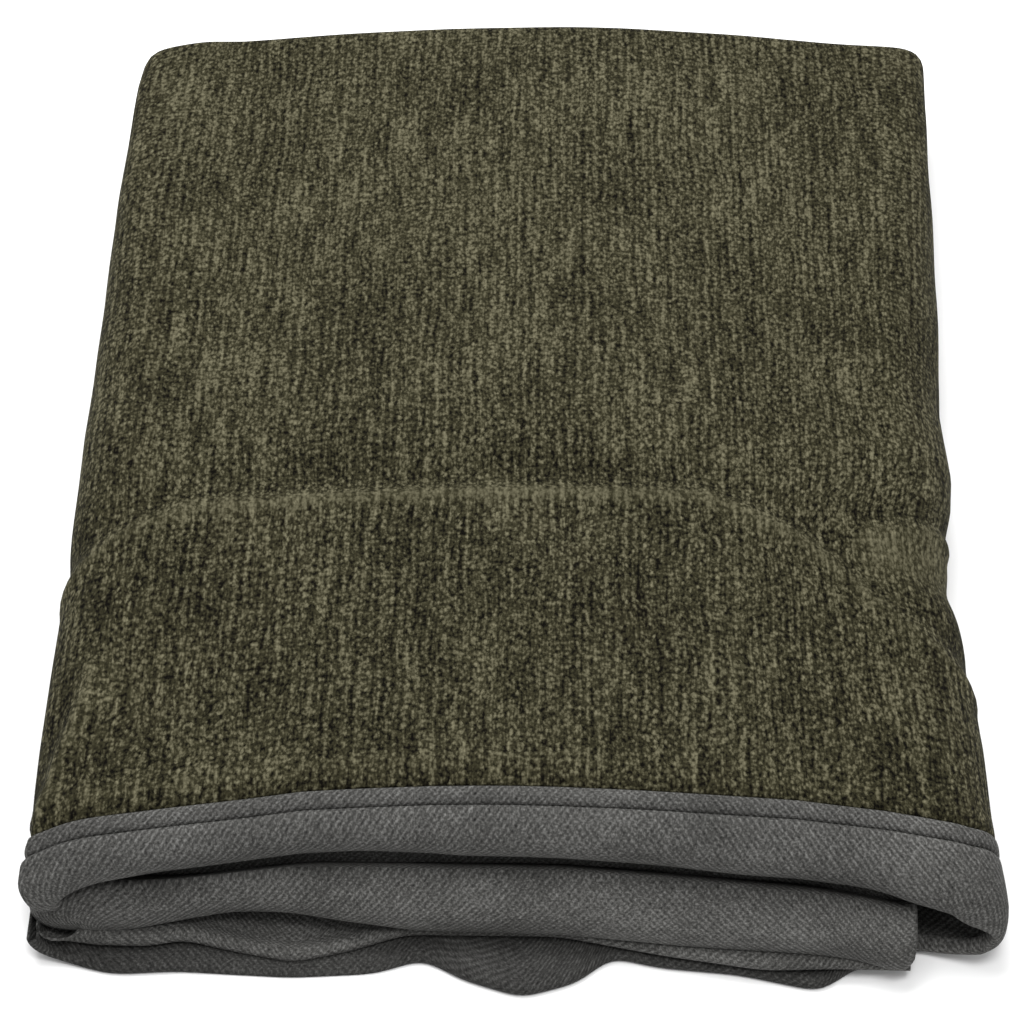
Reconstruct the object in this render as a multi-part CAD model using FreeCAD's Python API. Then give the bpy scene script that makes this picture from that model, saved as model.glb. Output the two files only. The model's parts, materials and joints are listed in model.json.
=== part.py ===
# Folded camp blanket: chenille face, woven lining, wide hem facing.
# It is folded in half from front to back (fold at the back, hems at the front), then in
# thirds from side to side.  The bottom leaf lies on the ground, the turned leaf is folded
# in from the left, and the cover leaf is folded over both from the right.
# Millimetres, +Z up, +Y towards the back fold, origin under the middle of the pile.
import FreeCAD
import Part
import math
import os

# ---- driving dimensions ----
WIDTH = 500.0          # over the side rolls
DEPTH = 650.0          # front hem of the bottom leaf to the back fold
HEIGHT = 84.0          # pile height at its crown, before the swell at mid depth
FACE_T = 5.0           # chenille face cloth with its pile
LINING_T = 2.8         # woven lining and hem cloth
CLEARANCE = 0.3        # air between touching cloths
RIGHT_ROLL_W = 40.0    # how far the cover leaf's roll reaches past the flat of the pile
TURNED_CROWN = 2.0     # extra height of the turned leaf along its middle
TURNED_REACH = 2.9     # how far the turned leaf's free edge may reach into the right roll
TURNED_GAP = 15.0      # least room between that free edge and the roll's inner side
HEM_W = 44.0           # hem facing on the hidden plies
EDGE_STRIP_W = 13.0    # proud strip between the face cloth and the hem stitching
EDGE_STRIP_RISE = 1.5
GROOVE_W = 2.6         # stitch groove
THREAD_W = 1.6
THREAD_T = 1.2
HEM_NOSE = 6.0         # rounding of a hem's front lip
FOLD_NOSE = 7.0        # rounding of a back fold
ARC_POINTS = 8         # points that shape a roll
RUN_POINTS = 9         # points that shape a crowned flat

# ---- sizes that follow ----
LEAF_H = HEIGHT / 3.0            # one leaf is two plies
PLY_PITCH = LEAF_H / 2.0
LINING_TOP = FACE_T + CLEARANCE
PLY_T = LINING_TOP + LINING_T
INNER_FACE_TOP = PLY_PITCH + LINING_T + CLEARANCE
LEAF_T = INNER_FACE_TOP + FACE_T
AIR = LEAF_H - LEAF_T            # room between two leaves
CROWN = TURNED_CROWN + 0.8 * AIR # extra height of the cover leaf along its middle
TURNED_EDGE_Z = 2.0 * LEAF_H - TURNED_CROWN
LEFT_ROLL_Z = TURNED_EDGE_Z / 2.0
LEFT_ROLL_W = LEFT_ROLL_Z ** 2 / (LEAF_T + 2.0)   # as wide as its inmost cloth can still bend
SWELL = 1.02                     # height factor of the swell at mid depth
HINGE_Z = HEIGHT * SWELL / 2.0 + CLEARANCE   # height of the right roll's outermost line
FLAT_X = WIDTH / 2.0 - RIGHT_ROLL_W
LEFT_X = WIDTH / 2.0 - RIGHT_ROLL_W - 2.0
COVER_EDGE_Z = HEIGHT - CROWN
TURNED_END_X = min(FLAT_X + TURNED_REACH, WIDTH / 2.0 - LEAF_T - TURNED_GAP)
DROOP_Z = HEIGHT * 0.6           # where the cover leaf's free left edge stops
BACK_Y = DEPTH / 2.0
COVER_FRONT_Y = -0.43 * DEPTH
TURNED_FRONT_Y = -0.452 * DEPTH
BOTTOM_INNER_FRONT_Y = -0.48 * DEPTH
BOTTOM_OUTER_FRONT_Y = -0.5 * DEPTH
BORDER_Y = COVER_FRONT_Y + HEM_NOSE + 8.0 + GROOVE_W + EDGE_STRIP_W

# how the pile's height varies from back to front: (fraction of DEPTH, height factor)
HEIGHT_LINE = [(0.5, 0.96), (0.23, 1.0), (0.0, SWELL), (-0.06, 0.99),
               (-0.385, 0.89), (-0.43, 0.71), (-0.452, 0.62), (-0.5, 0.62)]


def height_factor(y):
    part = y / DEPTH
    for (hi, f_hi), (lo, f_lo) in zip(HEIGHT_LINE, HEIGHT_LINE[1:]):
        if part >= lo:
            share = (part - lo) / (hi - lo)
            return f_lo + (f_hi - f_lo) * min(share, 1.0)
    return HEIGHT_LINE[-1][1]


def arc_points(cx, cz, rx, rz, start, end):
    """Points of an elliptic arc in the XZ plane; angles in degrees from +X towards +Z."""
    points = []
    for i in range(ARC_POINTS):
        a = math.radians(start + (end - start) * i / (ARC_POINTS - 1))
        points.append((cx + rx * math.cos(a), cz + rz * math.sin(a)))
    return points


def crowned_run(x0, x1, half_width, edge_z, crown):
    """Points of a leaf's flat, lifted gently along its middle."""
    points = []
    for i in range(RUN_POINTS):
        x = x0 + (x1 - x0) * i / (RUN_POINTS - 1)
        lift = math.cos(0.5 * math.pi * max(-1.0, min(1.0, x / half_width))) ** 2
        points.append((x, edge_z + crown * lift))
    return points


# A leaf's outer surface is a list of runs in the XZ plane.  Each run starts where the last
# one ended, and the leaf's inner side is on the right of the way it runs.

def cover_line():
    """Outer surface of the cover leaf, from its flat's left end to the right roll."""
    roll_h = COVER_EDGE_Z - HINGE_Z
    return [crowned_run(-FLAT_X, FLAT_X, FLAT_X, COVER_EDGE_Z, CROWN),
            arc_points(FLAT_X, HINGE_Z, RIGHT_ROLL_W, roll_h, 90, 0)]


def drooping_cover_line():
    """The same with the free left edge that hangs over the turned leaf's roll."""
    droop_h = COVER_EDGE_Z - DROOP_Z
    return [arc_points(-FLAT_X, DROOP_Z, RIGHT_ROLL_W, droop_h, 180, 90)] + cover_line()


def turned_line():
    """Outer surface of the turned leaf, from the left roll to its free right edge."""
    return [arc_points(-LEFT_X, LEFT_ROLL_Z, LEFT_ROLL_W, LEFT_ROLL_Z, 180, 90),
            crowned_run(-LEFT_X, TURNED_END_X, LEFT_X, TURNED_EDGE_Z, TURNED_CROWN)]


def bottom_line():
    """Outer surface of the bottom leaf, from the right roll along the ground to the left roll."""
    return [arc_points(FLAT_X, HINGE_Z, RIGHT_ROLL_W, HINGE_Z, 0, -90),
            [(FLAT_X, 0.0), (-LEFT_X, 0.0)],
            arc_points(-LEFT_X, LEFT_ROLL_Z, LEFT_ROLL_W, LEFT_ROLL_Z, -90, -180)]


def inset(line, depth):
    """The line's points moved inwards, square to it, still grouped in runs."""
    points = line[0] + [p for run in line[1:] for p in run[1:]]
    last = len(points) - 1
    moved = []
    for i, (x, z) in enumerate(points):
        x0, z0 = points[max(i - 1, 0)]
        x1, z1 = points[min(i + 1, last)]
        if i in (0, last) and abs(x1 - x0) < abs(z1 - z0):
            x0 = x1
        length = math.hypot(x1 - x0, z1 - z0)
        moved.append((x + depth * (z1 - z0) / length, z - depth * (x1 - x0) / length))
    runs = []
    first = 0
    for run in line:
        runs.append(moved[first:first + len(run)])
        first += len(run) - 1
    return runs


def run_edge(run, knots, y, factor):
    """One edge of a section: a straight line, or a curve through the run's points."""
    points = [FreeCAD.Vector(x, y, z * factor) for x, z in run]
    if len(points) == 2:
        return Part.makeLine(*points)
    curve = Part.BSplineCurve()
    curve.interpolate(Points=points, Parameters=knots)
    return curve.toShape()


def section(line, outer, inner, y):
    """Closed outline of a cloth between two depths under the leaf's outer surface."""
    factor = height_factor(y)
    sides = []
    for depth in (outer, inner):
        edges = []
        for run, moved in zip(line, inset(line, depth)):
            knots = [i / (len(run) - 1) for i in range(len(run))]
            edges.append(run_edge(moved, knots, y, factor))
        sides.append(edges)
    top, under = sides
    start = Part.makeLine(under[0].valueAt(under[0].FirstParameter), top[0].valueAt(top[0].FirstParameter))
    end = Part.makeLine(top[-1].valueAt(top[-1].LastParameter), under[-1].valueAt(under[-1].LastParameter))
    return Part.Wire(top + [end] + under[::-1] + [start])


def cloth(line, outer, inner, y_front, y_back):
    """One cloth of a leaf between two depths, from y_front to y_back."""
    stops = [part * DEPTH for part, factor in HEIGHT_LINE]
    stations = [y_front] + sorted(y for y in stops if y_front < y < y_back) + [y_back]
    sections = [section(line, outer, inner, y) for y in stations]
    return Part.makeLoft(sections, True, True)


def rounded_lip(line, outer, inner, y_start, reach):
    """A lip that closes towards y_start + reach, rounded off at that end."""
    sections = []
    for angle in (0, 35, 65, 85):
        a = math.radians(angle)
        draw_in = min(abs(reach), 0.45 * (inner - outer)) * (1.0 - math.cos(a))
        y = y_start + reach * math.sin(a)
        sections.append(section(line, outer + draw_in, inner - draw_in, y))
    if reach < 0:
        sections.reverse()
    return Part.makeLoft(sections, True, True)


def hem_with_lip(line, lip_depth, y_back, y_front):
    """Hem facing on an outer ply, with the lip that hangs at the leaf's front."""
    flat = cloth(line, 0.0, PLY_T, y_front + HEM_NOSE, y_back)
    lip = rounded_lip(line, 0.0, lip_depth, y_front + HEM_NOSE, -HEM_NOSE)
    return flat.fuse(lip).removeSplitter()


def seam_thread(line, y_middle):
    half = THREAD_W / 2.0
    return cloth(line, 0.0, THREAD_T, y_middle - half, y_middle + half)


def leaf_cloths(name, outer_line, inner_line, outer_front, inner_front):
    """Face, lining, inner hem and back fold shared by all three leaves."""
    fold_y = BACK_Y - FOLD_NOSE
    lining_y = fold_y - LINING_T - CLEARANCE
    hem_y = inner_front + HEM_W
    inner_lining = (PLY_PITCH, PLY_PITCH + LINING_T)
    return {
        name + "_face_outer": cloth(outer_line, 0.0, FACE_T, outer_front, fold_y - CLEARANCE),
        name + "_lining_outer": cloth(outer_line, LINING_TOP, PLY_T, outer_front, lining_y - CLEARANCE),
        name + "_lining_inner": cloth(inner_line, *inner_lining, hem_y, lining_y - CLEARANCE),
        name + "_face_inner": cloth(inner_line, INNER_FACE_TOP, LEAF_T, hem_y, fold_y - CLEARANCE),
        name + "_hem_inner": cloth(inner_line, PLY_PITCH, LEAF_T, inner_front, hem_y - CLEARANCE),
        name + "_back_fold": rounded_lip(inner_line, 0.0, LEAF_T, fold_y, FOLD_NOSE),
        name + "_back_fold_lining": cloth(inner_line, LINING_TOP, PLY_PITCH + LINING_T,
                                          lining_y, fold_y - CLEARANCE),
    }


def cover_leaf():
    outer_line = drooping_cover_line()
    inner_line = cover_line()
    groove_y = BORDER_Y - CLEARANCE - EDGE_STRIP_W
    nose_y = COVER_FRONT_Y + HEM_NOSE
    pieces = leaf_cloths("cover", outer_line, inner_line, BORDER_Y, nose_y + CLEARANCE)
    pieces["cover_edge_strip"] = cloth(outer_line, -EDGE_STRIP_RISE, FACE_T,
                                       groove_y, BORDER_Y - CLEARANCE)
    pieces["cover_stitches"] = seam_thread(outer_line, groove_y - GROOVE_W / 2.0)
    pieces["cover_hem_outer"] = hem_with_lip(outer_line, PLY_T, groove_y - GROOVE_W, COVER_FRONT_Y)
    pieces["cover_hem_lip"] = rounded_lip(inner_line, PLY_T + CLEARANCE, LEAF_T,
                                          nose_y, -HEM_NOSE)
    return pieces


def turned_leaf():
    line = turned_line()
    nose_y = TURNED_FRONT_Y + HEM_NOSE
    hem_y = TURNED_FRONT_Y + HEM_W
    pieces = leaf_cloths("turned", line, line, hem_y + GROOVE_W, nose_y + CLEARANCE)
    pieces["turned_stitches"] = seam_thread(line, hem_y + GROOVE_W / 2.0)
    pieces["turned_hem_outer"] = hem_with_lip(line, LEAF_T, hem_y, TURNED_FRONT_Y)
    return pieces


def bottom_leaf():
    line = bottom_line()
    hem_y = BOTTOM_OUTER_FRONT_Y + HEM_W
    pieces = leaf_cloths("bottom", line, line, hem_y + GROOVE_W, BOTTOM_INNER_FRONT_Y)
    pieces["bottom_stitches"] = seam_thread(line, hem_y + GROOVE_W / 2.0)
    pieces["bottom_hem_outer"] = cloth(line, 0.0, PLY_T, BOTTOM_OUTER_FRONT_Y, hem_y)
    return pieces


def main():
    os.makedirs("parts", exist_ok=True)
    for leaf in (bottom_leaf, turned_leaf, cover_leaf):
        for node, shape in leaf().items():
            shape.exportStep("parts/" + node + ".step")


main()
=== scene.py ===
import json
import math

import bmesh
import bpy
import numpy as np
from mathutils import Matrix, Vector, noise


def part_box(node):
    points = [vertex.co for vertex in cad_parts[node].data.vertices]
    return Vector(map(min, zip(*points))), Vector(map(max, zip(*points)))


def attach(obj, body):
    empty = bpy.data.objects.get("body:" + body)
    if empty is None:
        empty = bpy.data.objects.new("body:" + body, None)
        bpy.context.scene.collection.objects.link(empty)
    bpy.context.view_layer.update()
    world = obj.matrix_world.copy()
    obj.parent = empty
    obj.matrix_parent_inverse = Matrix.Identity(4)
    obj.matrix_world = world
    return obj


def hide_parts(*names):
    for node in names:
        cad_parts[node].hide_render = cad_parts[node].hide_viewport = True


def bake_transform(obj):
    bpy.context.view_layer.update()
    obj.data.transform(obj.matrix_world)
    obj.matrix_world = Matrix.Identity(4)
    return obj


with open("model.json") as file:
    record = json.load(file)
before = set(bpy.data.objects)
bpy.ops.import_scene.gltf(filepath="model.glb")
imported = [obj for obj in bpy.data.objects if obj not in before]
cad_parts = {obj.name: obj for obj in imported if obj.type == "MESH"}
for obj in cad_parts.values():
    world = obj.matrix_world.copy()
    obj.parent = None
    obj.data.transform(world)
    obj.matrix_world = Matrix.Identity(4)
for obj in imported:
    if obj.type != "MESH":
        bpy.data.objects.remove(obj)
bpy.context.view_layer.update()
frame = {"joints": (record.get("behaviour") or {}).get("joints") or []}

bl_info = {
    "name": "Folded camp blanket",
    "version": (1, 0, 0),
    "blender": (4, 5, 0),
    "location": "3D View > Sidebar > Blanket",
    "description": "Makes the cloths, hems and stitching of a folded camp blanket",
    "category": "Add Mesh",
}

PILE = "pile"
WEAVE_MAP = "cloth"
# The tone laid on the cover's top: paler where brushing opens the pile, with painted highlight on crease
# crests and painted shade in their valleys, along the border and towards the front.
TONE_MAP = "brushed_and_painted_light"

# ---- sizes in metres: first those that the frame holds ----
COVER_LOW, COVER_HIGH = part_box("cover_face_outer")
TURNED_LOW, TURNED_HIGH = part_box("turned_face_outer")
HINGE_Z = frame["joints"][0]["pos_m"][2]
BACK_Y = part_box("cover_back_fold")[1].y
BORDER_Y = COVER_LOW.y
COVER_NOSE_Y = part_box("cover_hem_outer")[0].y
TURNED_NOSE_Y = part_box("turned_hem_outer")[0].y
BOTTOM_INNER_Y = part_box("bottom_hem_inner")[0].y
BOTTOM_OUTER_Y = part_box("bottom_hem_outer")[0].y
TURNED_END_X = TURNED_HIGH.x

# ---- then those set here, the same as the part's own, and what follows from them ----
RIGHT_ROLL_W = 0.040
LEAF_H = 0.028
LEAF_T = 0.0221
TURNED_CROWN = 0.002
COVER_CROWN = 0.0067
DEPTH = BACK_Y - BOTTOM_OUTER_Y
FLAT_X = COVER_HIGH.x - RIGHT_ROLL_W
LEFT_X = FLAT_X - 0.002
LEFT_ROLL_W = abs(TURNED_LOW.x) - LEFT_X
COVER_EDGE_Z = 3 * LEAF_H - COVER_CROWN
TURNED_EDGE_Z = 2 * LEAF_H - TURNED_CROWN
DROOP_Z = 0.6 * 3 * LEAF_H
PLY_PITCH = LEAF_H / 2

# ---- the cloths: the gap between two, a hem's width, and how thick its cloth is ----
SKIN_GAP = 0.0003
HEM_WIDTH = 0.044
HEM_CLOTH_T = 0.0024
UNDER_HEM_T = 0.002
GROOVE_Y = BORDER_Y - 0.0094
HEM_STEPS = np.linspace(0, 1, 15) ** 1.4

# how the pile's height varies from the back to the front
HEIGHT_Y = [-0.5, -0.452, -0.43, -0.385, -0.06, 0.0, 0.23, 0.5]
HEIGHT_FACTOR = [0.62, 0.62, 0.71, 0.89, 0.99, 1.02, 1.0, 0.96]


# ---------------------------------------------------------------------------
# Shapes: a leaf's outer surface is a line in the XZ plane; cloths follow it
# ---------------------------------------------------------------------------

def arc(cx, cz, rx, rz, start, end, square=1.0, count=60):
    """Part of an ellipse in XZ; with square under 1 its corner is fuller."""
    a = np.radians(np.linspace(start, end, count))
    out, up = np.cos(a), np.sin(a)
    return np.column_stack([cx + rx * np.sign(out) * np.abs(out) ** square,
                            cz + rz * np.sign(up) * np.abs(up) ** square])


def crowned(x0, x1, half_width, edge_z, crown, count=60):
    x = np.linspace(x0, x1, count)
    lift = np.cos(0.5 * np.pi * np.clip(x / half_width, -1, 1)) ** 2
    return np.column_stack([x, edge_z + crown * lift])


def smooth_step(low, high, value):
    t = np.clip((value - low) / (high - low), 0, 1)
    return t * t * (3 - 2 * t)


def bell(value, middle, width):
    return np.exp(-((value - middle) / width) ** 2)


class LeafLine:
    """A leaf's outer surface in even steps, with the way inwards at each step."""

    STEP = 0.001

    def __init__(self, *runs):
        points = np.vstack([runs[0]] + [r[1:] for r in runs[1:]])
        lengths = np.concatenate([[0], np.cumsum(np.hypot(*np.diff(points, axis=0).T))])
        self.length = lengths[-1]
        self.u = np.linspace(0, self.length, int(self.length / self.STEP) + 1)
        self.x = np.interp(self.u, lengths, points[:, 0])
        self.z = np.interp(self.u, lengths, points[:, 1])
        window = np.ones(7) / 7
        run_x = np.convolve(np.pad(np.gradient(self.x), 3, "edge"), window, "valid")
        run_z = np.convolve(np.pad(np.gradient(self.z), 3, "edge"), window, "valid")
        size = np.hypot(run_x, run_z)
        self.in_x = run_z / size
        self.in_z = -run_x / size

    def at(self, u):
        return (np.interp(u, self.u, self.x), np.interp(u, self.u, self.z),
                np.interp(u, self.u, self.in_x), np.interp(u, self.u, self.in_z))

    def u_where_x(self, x):
        """Length along the line where it first passes x going right or left."""
        return self.u[int(np.argmin(np.abs(self.x - x)))]


def cover_line(square):
    """The cover leaf's line; square is 1 for round shoulders and less for squarer ones."""
    return LeafLine(
        arc(-FLAT_X, DROOP_Z, RIGHT_ROLL_W, COVER_EDGE_Z - DROOP_Z, 180, 90, square),
        crowned(-FLAT_X, FLAT_X, FLAT_X, COVER_EDGE_Z, COVER_CROWN),
        arc(FLAT_X, HINGE_Z, RIGHT_ROLL_W, COVER_EDGE_Z - HINGE_Z, 90, 0, square),
        arc(FLAT_X, HINGE_Z, RIGHT_ROLL_W, HINGE_Z, 0, -90))


def line_knots(line):
    """Lengths at which a cover line's shoulders and lower roll begin and end."""
    shoulders = [line.u_where_x(-FLAT_X), line.u_where_x(FLAT_X - 0.0005)]
    outermost = line.u[int(np.argmax(line.x))]
    return [0.0, shoulders[0], shoulders[1], outermost, line.length]


COVER_LINE = cover_line(1.0)
COVER_BACK_LINE = cover_line(0.45)
COVER_KNOTS = line_knots(COVER_LINE)
COVER_BACK_KNOTS = line_knots(COVER_BACK_LINE)
TURNED_LINE = LeafLine(
    arc(-LEFT_X, TURNED_EDGE_Z / 2, LEFT_ROLL_W, TURNED_EDGE_Z / 2, 180, 90),
    crowned(-LEFT_X, TURNED_END_X, LEFT_X, TURNED_EDGE_Z, TURNED_CROWN))
BOTTOM_LINE = LeafLine(
    np.array([(FLAT_X, 0.0), (-LEFT_X, 0.0)]),
    arc(-LEFT_X, TURNED_EDGE_Z / 2, LEFT_ROLL_W, TURNED_EDGE_Z / 2, -90, -180))
DROOP_U = COVER_LINE.u[int(np.argmax(COVER_LINE.x > -FLAT_X + 0.004))]
COVER_MID_U = COVER_LINE.u[int(np.argmax(COVER_LINE.x > 0.0))]
TURNED_MID_U = TURNED_LINE.u_where_x(0.0)
BOTTOM_MID_U = BOTTOM_LINE.u_where_x(0.0)


def height_factor(y):
    """The pile's height at y, as a share of its height at mid depth."""
    grid = np.arange(-0.56, 0.56, 0.002)
    factor = np.interp(grid, HEIGHT_Y, HEIGHT_FACTOR)
    window = np.ones(9) / 9
    factor = np.convolve(np.pad(factor, 4, "edge"), window, "valid")
    return np.interp(y / DEPTH, grid, factor)


def wander(x, y, scale, seed):
    """Smooth noise from -1 to 1 over cloth positions, with features about scale metres wide."""
    flat_x = np.ravel(x) / scale
    flat_y = np.ravel(y) / scale
    values = [noise.noise(Vector((a, b, seed))) for a, b in zip(flat_x, flat_y)]
    return np.array(values).reshape(np.shape(x)) * 1.6


# ---- how the cover leaf lies: creases, swell and the pull at its right edge ----

RIDGE_S = [-0.27, -0.245, -0.21, -0.187, -0.10, 0.0, 0.10, 0.124, 0.153, 0.176, 0.20, 0.26]
RIDGE_Y = [-0.113, -0.098, -0.078, -0.068, -0.063, -0.060, -0.0605, -0.070, -0.084, -0.102,
           -0.124, -0.165]
SIDE_CREASE_Y = [-0.27, -0.236, -0.205, -0.173]
SIDE_CREASE_S = [-0.254, -0.245, -0.236, -0.226]


def ridge_parts(s, y):
    """Strength, crest and shelf of the soft ridge a little in front of the leaf's middle."""
    behind = y - np.interp(s, RIDGE_S, RIDGE_Y)
    strength = 0.55 + 0.45 * bell(s, -0.02, 0.15) + 0.25 * bell(s, 0.15, 0.03)
    crest = bell(behind, 0.0, 0.0062)
    valley = bell(behind, 0.017, 0.011)
    shelf = smooth_step(0.004, -0.012, behind) * smooth_step(-0.19, -0.03, behind)
    return strength, crest, valley, shelf


def side_crease(y):
    """Where across the leaf the crease beside its left edge runs, and how strong it is."""
    return np.interp(y, SIDE_CREASE_Y, SIDE_CREASE_S), smooth_step(-0.145, -0.175, y)


def short_crease(s):
    """Where the short crease at the leaf's right end runs."""
    return -0.074 + 0.15 * (s - 0.22)


def cover_relief(s, y, crease):
    strength, crest, valley, shelf = ridge_parts(s, y)
    relief = crease * strength * (0.0034 * crest - 0.0026 * valley + 0.0012 * shelf)
    relief += 0.0016 * wander(s, y, 0.16, 3.0) + 0.0007 * wander(s, y, 0.055, 9.0)
    side, fade = side_crease(y)
    relief += crease * 0.0026 * fade * bell(s, side, 0.0055)
    relief -= crease * 0.0022 * fade * bell(s, side - 0.013, 0.008)
    relief += crease * 0.0024 * smooth_step(0.185, 0.205, s) * bell(y, short_crease(s), 0.006)
    relief -= crease * 0.0030 * smooth_step(0.185, 0.215, s) * bell(y, -0.098, 0.012)
    lift = 0.0016 * bell(y, BORDER_Y + 0.015, 0.006) * smooth_step(0.12, -0.02, s)
    return relief + crease * lift


def brushed_pile_and_painted_light(s, y):
    """Where the pile is paler (above 0) or darker (below 0): paler where brushing opens the pile on the
    crests, with a painted highlight there, and darker from painted shade in the crease valleys, along the
    border and towards the front.
    """
    strength, crest, valley, shelf = ridge_parts(s, y)
    side, fade = side_crease(y)
    # painted highlight on the ridge's crest; painted shade in the valley behind it and on the shelf in
    # front of it
    tone = strength * (0.80 * crest - 0.32 * valley - 0.12 * shelf)
    # painted highlight on the side crease and painted shade in the hollow beside it
    tone += fade * (0.5 * bell(s, side, 0.005) - 0.5 * bell(s, side - 0.012, 0.007))
    at_right, short = smooth_step(0.180, 0.205, s), short_crease(s)
    # painted highlight along the short crease, painted shade just behind it and painted light on the
    # slope in front of it
    tone += at_right * (0.40 * bell(y, short, 0.005) - 0.45 * bell(y, short + 0.013, 0.009))
    tone += 0.60 * at_right * smooth_step(short, short - 0.006, y) * bell(y, -0.090, 0.024)
    # painted highlight on the lifted pile just behind the border
    tone += 0.30 * bell(y, BORDER_Y + 0.015, 0.005) * smooth_step(0.12, -0.02, s)
    # painted shadow along the border, where the pile overhangs the edge strip
    tone -= 0.55 * bell(y, BORDER_Y, 0.005)
    # painted light: paler towards the back, darker towards the front
    tone += 0.10 * smooth_step(-0.06, 0.05, y) - 0.08 * smooth_step(-0.06, -0.16, y)
    return tone


def side_pull(s, y):
    """How far the right roll is drawn in, and how far the left edge swells out."""
    right = np.interp(y, [-0.30, -0.283, -0.265, -0.235, -0.195, -0.145, -0.108, -0.082, -0.062,
                          -0.040, -0.018, 0.03, 0.12, 0.25, 0.33],
                      [-0.0016, -0.0010, 0.0020, 0.0042, 0.0055, 0.0095, 0.0130, 0.0153, 0.0162,
                       0.0105, 0.0082, 0.0112, 0.0066, 0.002, 0.0])
    left = np.interp(y, [-0.285, -0.255, -0.20, 0.0, 0.15, 0.25, 0.29, 0.31, 0.326],
                     [-0.003, -0.001, -0.0008, -0.001, 0.0, 0.0012, 0.0026, 0.0046, 0.0080])
    return left * smooth_step(-0.14, -0.25, s) - right * smooth_step(0.10, 0.25, s)


COVER_FRONT_S = [-0.262, -0.249, -0.217, -0.178, -0.112, -0.045, 0.021, 0.092, 0.143, 0.189,
                 0.216, 0.233, 0.252, 0.295, 0.325, 0.360]
COVER_FRONT_SHIFT = [-0.0245, -0.0229, -0.0181, -0.0118, -0.0022, 0.001, 0.0007, -0.002, -0.0035,
                     -0.0080, -0.0128, -0.0134, -0.0100, -0.0080, 0.0010, 0.0040]
FRONT_PINCH = 0.55


def cover_front_shift(s):
    """The front edge bows forwards at both ends."""
    return np.interp(s, COVER_FRONT_S, COVER_FRONT_SHIFT)


def cover_at(u, y):
    """The cover leaf's line at y: towards the back its rolled sides are pressed squarer."""
    loose = COVER_LINE.at(u)
    pressed = COVER_BACK_LINE.at(np.interp(u, COVER_KNOTS, COVER_BACK_KNOTS))
    share = smooth_step(0.08, 0.30, y)
    return [a + (b - a) * share for a, b in zip(loose, pressed)]


def place_cover(u, y, d, crease=1.0):
    """Cover leaf: length u along its line, y, and depth d under its outer surface."""
    s = u - COVER_MID_U
    x0, z0, in_x, in_z = cover_at(u, y)
    relief = cover_relief(s, y, crease) * smooth_step(0.030, 0.0, d)
    near_front = smooth_step(0.0, BORDER_Y, y)
    pinch = 1 - FRONT_PINCH * smooth_step(0.235, 0.275, s) * smooth_step(-0.12, -0.24, y)
    reach = d * pinch - relief
    x = x0 + in_x * reach + side_pull(s, y) + right_end_pull(x0, y) * smooth_step(0.28, 0.33, s)
    z = (z0 + in_z * reach) * height_factor(y)
    middle = np.clip(1 - ((x0 - 0.035) / 0.22) ** 2, 0, 1)
    corner = smooth_step(-0.205, -0.250, x0)
    back_bow = (0.0095 * middle - 0.0070 * corner) * smooth_step(0.15, 0.325, y)
    return x, y + cover_front_shift(s) * near_front + back_bow, np.maximum(z, 0.0)


def left_swell(x0, y):
    """The left roll opens out towards the front and is pulled in a little at the back."""
    along = -0.012 * smooth_step(-0.05, -0.27, y) + 0.0075 * smooth_step(0.15, 0.32, y)
    return along * smooth_step(-0.195, -0.238, x0)


def right_end_pull(x0, y):
    """The leaves' right ends draw in at the front."""
    return -0.009 * smooth_step(-0.08, -0.25, y) * smooth_step(0.15, 0.205, x0)


def place_turned(u, y, d, crease=1.0):
    x0, z0, in_x, in_z = TURNED_LINE.at(u)
    relief = 0.0008 * crease * wander(x0, y, 0.12, 21.0) * smooth_step(0.03, 0.0, d)
    reach = d - relief
    z = (z0 + in_z * reach) * height_factor(y)
    room = -0.013 * smooth_step(-0.225, -0.165, y) * smooth_step(0.12, 0.205, x0)
    return x0 + in_x * reach + left_swell(x0, y) + right_end_pull(x0, y) + room, y, z


def place_bottom(u, y, d, crease=1.0):
    x0, z0, in_x, in_z = BOTTOM_LINE.at(u)
    z = (z0 + in_z * d) * height_factor(y)
    return x0 + in_x * d + left_swell(x0, y) + right_end_pull(x0, y), y, np.maximum(z, 0.0)


# ---------------------------------------------------------------------------
# Meshes
# ---------------------------------------------------------------------------

def section_lengths(outer):
    """Running length along a section, or along each section of a stack."""
    steps = np.diff(outer, axis=-2)
    steps = np.cumsum(np.hypot(steps[..., 0], steps[..., 1]), axis=-1)
    return np.concatenate([np.zeros(steps.shape[:-1] + (1,)), steps], axis=-1)


def offset_section(outer, thickness):
    """The same run of section points moved square to itself by the cloth's thickness."""
    run = np.gradient(outer, axis=-2)
    size = np.hypot(run[..., 0], run[..., 1])
    square = np.stack([-run[..., 1], run[..., 0]], axis=-1) / size[..., None]
    return outer + square * thickness


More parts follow.
